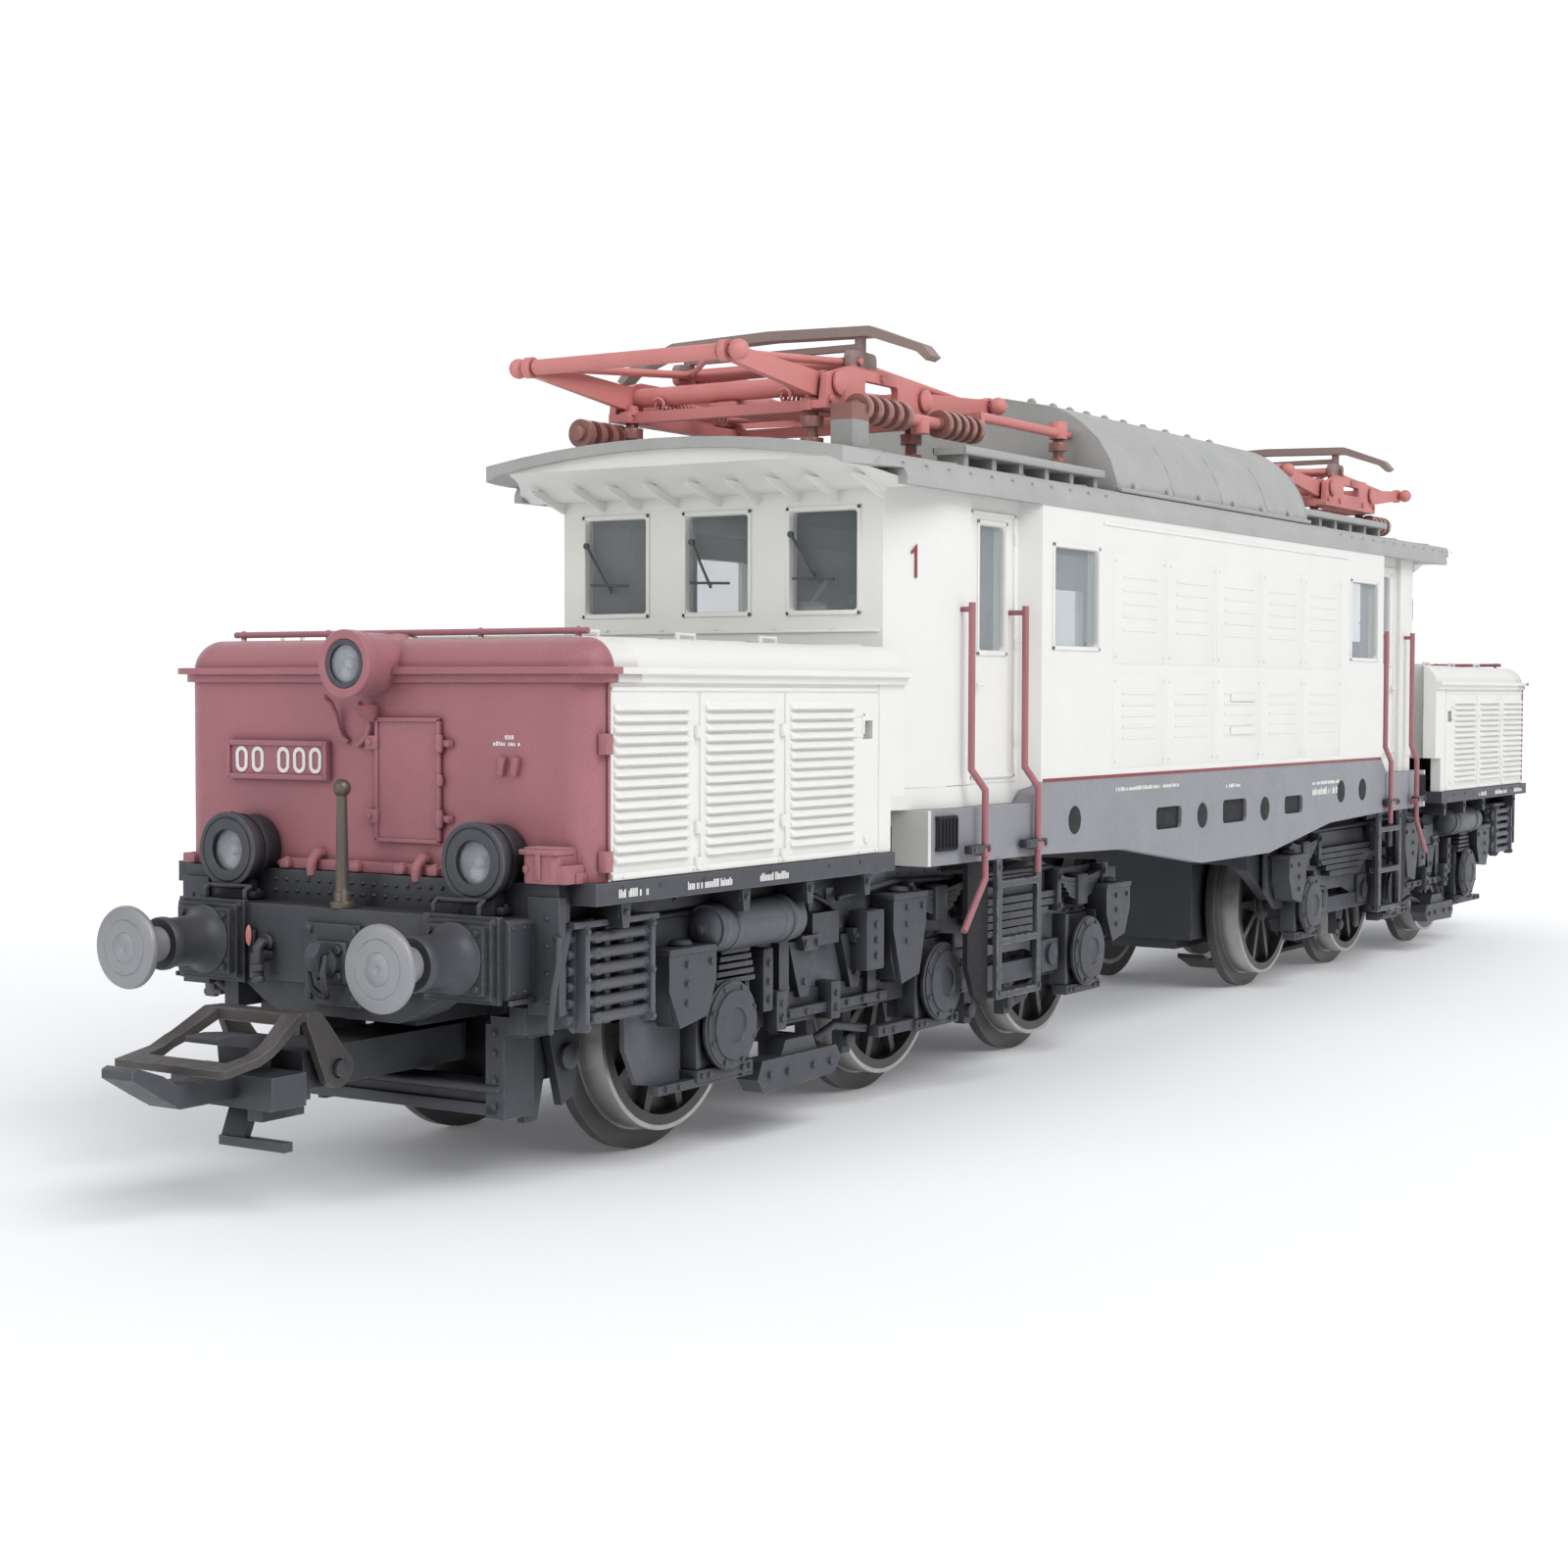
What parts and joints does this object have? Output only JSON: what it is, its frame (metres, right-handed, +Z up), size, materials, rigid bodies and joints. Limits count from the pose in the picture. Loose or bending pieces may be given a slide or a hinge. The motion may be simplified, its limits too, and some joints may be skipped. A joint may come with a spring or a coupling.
{
  "type": "model electric locomotive",
  "caption": "Scale-model articulated electric locomotive with end hoods on swivelling bogies, centre cabs and two folding roof pantographs.",
  "frame": {"origin": "centre of the object at ground level, under the wheel flanges", "axes": "+X along the length towards the rear end, cab 1 at -X; +Y across; +Z up"},
  "size_m": [0.2328, 0.0362, 0.0571],
  "materials": {
    "frame_grey": "matt grey paint",
    "body_white": "matt off-white paint",
    "roof_grey": "matt warm grey paint",
    "nose_red": "matt wine red paint",
    "signal_red": "matt red paint",
    "glass": "clear polished",
    "chassis_black": "matt blue-black moulding",
    "buffer_metal": "grey metallic paint",
    "insulator_brown": "matt brown",
    "wheel_metal": "dark nickel with bright rims",
    "gear_plastic": "natural acetal",
    "motor_steel": "plain steel can",
    "coupler_steel": "dark burnished sheet steel",
    "board_green": "printed board lacquer",
    "post_bronze": "dark bronze",
    "screw_steel": "bright zinc"
  },
  "bodies": {
    "root": {"bridge_frame": "frame_grey", "body_shell": "body_white", "roof_panel": "roof_grey", "roof_hatch": "roof_grey", "cab_glazing": "glass", "cab_handrails": "signal_red", "boarding_ladders": "chassis_black", "frame_screws": "screw_steel", "circuit_board": "board_green", "roof_insulators": "insulator_brown", "roof_busbars": "signal_red", "pantograph_bases": "signal_red"},
    "front_bogie": {"front_chassis": "chassis_black", "front_side_frames": "chassis_black", "front_buffer_beam": "chassis_black", "front_buffers": "buffer_metal", "front_hood": "body_white", "front_nose": "nose_red", "front_headlamps": "chassis_black", "front_lamp_lenses": "glass", "front_signal_post": "post_bronze", "front_pipework": "chassis_black", "front_bottom_cover": "chassis_black", "motor_housing": "motor_steel"},
    "rear_bogie": {"rear_chassis": "chassis_black", "rear_side_frames": "chassis_black", "rear_buffer_beam": "chassis_black", "rear_buffers": "buffer_metal", "rear_hood": "body_white", "rear_nose": "nose_red", "rear_headlamps": "chassis_black", "rear_lamp_lenses": "glass", "rear_signal_post": "post_bronze", "rear_pipework": "chassis_black", "rear_bottom_cover": "chassis_black"},
    "wheelset_1": {"wheelset_1": "wheel_metal"},
    "wheelset_2": {"wheelset_2": "wheel_metal"},
    "wheelset_3": {"wheelset_3": "wheel_metal"},
    "wheelset_4": {"wheelset_4": "wheel_metal"},
    "wheelset_5": {"wheelset_5": "wheel_metal"},
    "wheelset_6": {"wheelset_6": "wheel_metal"},
    "idler_gear_front": {"idler_gear_front": "gear_plastic"},
    "idler_gear_middle": {"idler_gear_middle": "gear_plastic"},
    "idler_gear_rear": {"idler_gear_rear": "gear_plastic"},
    "motor_armature": {"motor_armature": "motor_steel"},
    "front_coupler": {"front_coupler": "chassis_black"},
    "front_coupler_bail": {"front_coupler_bail": "coupler_steel"},
    "rear_coupler": {"rear_coupler": "chassis_black"},
    "rear_coupler_bail": {"rear_coupler_bail": "coupler_steel"},
    "pickup_shoe": {"pickup_shoe": "coupler_steel"},
    "front_pantograph_lower_arm_outer": {"front_pantograph_lower_arm_outer": "signal_red"},
    "front_pantograph_upper_arm_outer": {"front_pantograph_upper_arm_outer": "signal_red"},
    "front_pantograph_lower_arm_inner": {"front_pantograph_lower_arm_inner": "signal_red"},
    "front_pantograph_upper_arm_inner": {"front_pantograph_upper_arm_inner": "signal_red"},
    "front_pantograph_head": {"front_pantograph_head": "signal_red"},
    "rear_pantograph_lower_arm_outer": {"rear_pantograph_lower_arm_outer": "signal_red"},
    "rear_pantograph_upper_arm_outer": {"rear_pantograph_upper_arm_outer": "signal_red"},
    "rear_pantograph_lower_arm_inner": {"rear_pantograph_lower_arm_inner": "signal_red"},
    "rear_pantograph_upper_arm_inner": {"rear_pantograph_upper_arm_inner": "signal_red"},
    "rear_pantograph_head": {"rear_pantograph_head": "signal_red"}
  },
  "joints": [
    {"name": "front_bogie_swivel", "type": "hinge", "parent": "root", "child": "front_bogie", "pos_m": [-0.0523, 0, 0.019], "axis": [0, 0, 1], "range_deg": [-8, 8]},
    {"name": "rear_bogie_swivel", "type": "hinge", "parent": "root", "child": "rear_bogie", "pos_m": [0.0523, 0, 0.019], "axis": [0, 0, 1], "range_deg": [-8, 8]},
    {"name": "wheelset_1_spin", "type": "hinge", "parent": "front_bogie", "child": "wheelset_1", "pos_m": [-0.0789, 0, 0.0086], "axis": [0, 1, 0], "continuous": true},
    {"name": "wheelset_2_spin", "type": "hinge", "parent": "front_bogie", "child": "wheelset_2", "pos_m": [-0.0509, 0, 0.0086], "axis": [0, 1, 0], "continuous": true},
    {"name": "wheelset_3_spin", "type": "hinge", "parent": "front_bogie", "child": "wheelset_3", "pos_m": [-0.026, 0, 0.0086], "axis": [0, 1, 0], "continuous": true},
    {"name": "wheelset_4_spin", "type": "hinge", "parent": "rear_bogie", "child": "wheelset_4", "pos_m": [0.026, 0, 0.0086], "axis": [0, 1, 0], "continuous": true},
    {"name": "wheelset_5_spin", "type": "hinge", "parent": "rear_bogie", "child": "wheelset_5", "pos_m": [0.0509, 0, 0.0086], "axis": [0, 1, 0], "continuous": true},
    {"name": "wheelset_6_spin", "type": "hinge", "parent": "rear_bogie", "child": "wheelset_6", "pos_m": [0.0789, 0, 0.0086], "axis": [0, 1, 0], "continuous": true},
    {"name": "idler_gear_front_spin", "type": "hinge", "parent": "front_bogie", "child": "idler_gear_front", "pos_m": [-0.07178, 0, 0.01192], "axis": [0, 1, 0], "continuous": true},
    {"name": "idler_gear_middle_spin", "type": "hinge", "parent": "front_bogie", "child": "idler_gear_middle", "pos_m": [-0.0649, 0, 0.0165], "axis": [0, 1, 0], "continuous": true},
    {"name": "idler_gear_rear_spin", "type": "hinge", "parent": "front_bogie", "child": "idler_gear_rear", "pos_m": [-0.05802, 0, 0.01192], "axis": [0, 1, 0], "continuous": true},
    {"name": "motor_spin", "type": "hinge", "parent": "front_bogie", "child": "motor_armature", "pos_m": [-0.06912, 0, 0.0219], "axis": [0, 1, 0], "continuous": true},
    {"name": "front_coupler_swing", "type": "hinge", "parent": "front_bogie", "child": "front_coupler", "pos_m": [-0.091, 0, 0.008], "axis": [0, 0, 1], "range_deg": [-12, 12], "stiffness_Nm_per_rad": 0.002},
    {"name": "front_bail_lift", "type": "hinge", "parent": "front_coupler", "child": "front_coupler_bail", "pos_m": [-0.103, 0, 0.008], "axis": [0, 1, 0], "range_deg": [0, 22]},
    {"name": "rear_coupler_swing", "type": "hinge", "parent": "rear_bogie", "child": "rear_coupler", "pos_m": [0.091, 0, 0.008], "axis": [0, 0, 1], "range_deg": [-12, 12], "stiffness_Nm_per_rad": 0.002},
    {"name": "rear_bail_lift", "type": "hinge", "parent": "rear_coupler", "child": "rear_coupler_bail", "pos_m": [0.103, 0, 0.008], "axis": [0, -1, 0], "range_deg": [0, 22]},
    {"name": "pickup_shoe_lift", "type": "slide", "parent": "rear_bogie", "child": "pickup_shoe", "axis": [0, 0, 1], "range_m": [0, 0.0012], "stiffness_N_per_m": 25, "springref_m": -0.001},
    {"name": "front_pantograph_lower_outer_raise", "type": "hinge", "parent": "root", "child": "front_pantograph_lower_arm_outer", "pos_m": [-0.0576, 0, 0.052], "axis": [0, 1, 0], "range_deg": [0, 50]},
    {"name": "front_pantograph_knee_outer", "type": "hinge", "parent": "front_pantograph_lower_arm_outer", "child": "front_pantograph_upper_arm_outer", "pos_m": [-0.0702, 0, 0.0529], "axis": [0, 1, 0], "range_deg": [-90.5, 0]},
    {"name": "front_pantograph_lower_inner_raise", "type": "hinge", "parent": "root", "child": "front_pantograph_lower_arm_inner", "pos_m": [-0.045, 0, 0.052], "axis": [0, -1, 0], "range_deg": [0, 50]},
    {"name": "front_pantograph_knee_inner", "type": "hinge", "parent": "front_pantograph_lower_arm_inner", "child": "front_pantograph_upper_arm_inner", "pos_m": [-0.0324, 0, 0.0529], "axis": [0, -1, 0], "range_deg": [-90.5, 0]},
    {"name": "front_pantograph_head_level", "type": "hinge", "parent": "front_pantograph_upper_arm_outer", "child": "front_pantograph_head", "pos_m": [-0.05205, 0, 0.0543], "axis": [0, 1, 0], "range_deg": [0, 40.5]},
    {"name": "rear_pantograph_lower_outer_raise", "type": "hinge", "parent": "root", "child": "rear_pantograph_lower_arm_outer", "pos_m": [0.0576, 0, 0.052], "axis": [0, -1, 0], "range_deg": [0, 50]},
    {"name": "rear_pantograph_knee_outer", "type": "hinge", "parent": "rear_pantograph_lower_arm_outer", "child": "rear_pantograph_upper_arm_outer", "pos_m": [0.0702, 0, 0.0529], "axis": [0, -1, 0], "range_deg": [-90.5, 0]},
    {"name": "rear_pantograph_lower_inner_raise", "type": "hinge", "parent": "root", "child": "rear_pantograph_lower_arm_inner", "pos_m": [0.045, 0, 0.052], "axis": [0, 1, 0], "range_deg": [0, 50]},
    {"name": "rear_pantograph_knee_inner", "type": "hinge", "parent": "rear_pantograph_lower_arm_inner", "child": "rear_pantograph_upper_arm_inner", "pos_m": [0.0324, 0, 0.0529], "axis": [0, 1, 0], "range_deg": [-90.5, 0]},
    {"name": "rear_pantograph_head_level", "type": "hinge", "parent": "rear_pantograph_upper_arm_outer", "child": "rear_pantograph_head", "pos_m": [0.05205, 0, 0.0543], "axis": [0, -1, 0], "range_deg": [0, 40.5]}
  ],
  "couplings": [
    {"joint": "wheelset_2_spin", "follows": "wheelset_1_spin", "ratio": 1},
    {"joint": "idler_gear_front_spin", "follows": "wheelset_1_spin", "ratio": -1.2941},
    {"joint": "idler_gear_middle_spin", "follows": "wheelset_1_spin", "ratio": 0.91667},
    {"joint": "idler_gear_rear_spin", "follows": "wheelset_1_spin", "ratio": -1.2941},
    {"joint": "motor_spin", "follows": "wheelset_1_spin", "ratio": -2.2},
    {"joint": "front_pantograph_knee_outer", "follows": "front_pantograph_lower_outer_raise", "ratio": -1.803},
    {"joint": "front_pantograph_lower_inner_raise", "follows": "front_pantograph_lower_outer_raise", "ratio": 1},
    {"joint": "front_pantograph_knee_inner", "follows": "front_pantograph_lower_outer_raise", "ratio": -1.803},
    {"joint": "front_pantograph_head_level", "follows": "front_pantograph_lower_outer_raise", "ratio": 0.803},
    {"joint": "rear_pantograph_knee_outer", "follows": "rear_pantograph_lower_outer_raise", "ratio": -1.803},
    {"joint": "rear_pantograph_lower_inner_raise", "follows": "rear_pantograph_lower_outer_raise", "ratio": 1},
    {"joint": "rear_pantograph_knee_inner", "follows": "rear_pantograph_lower_outer_raise", "ratio": -1.803},
    {"joint": "rear_pantograph_head_level", "follows": "rear_pantograph_lower_outer_raise", "ratio": 0.803}
  ]
}
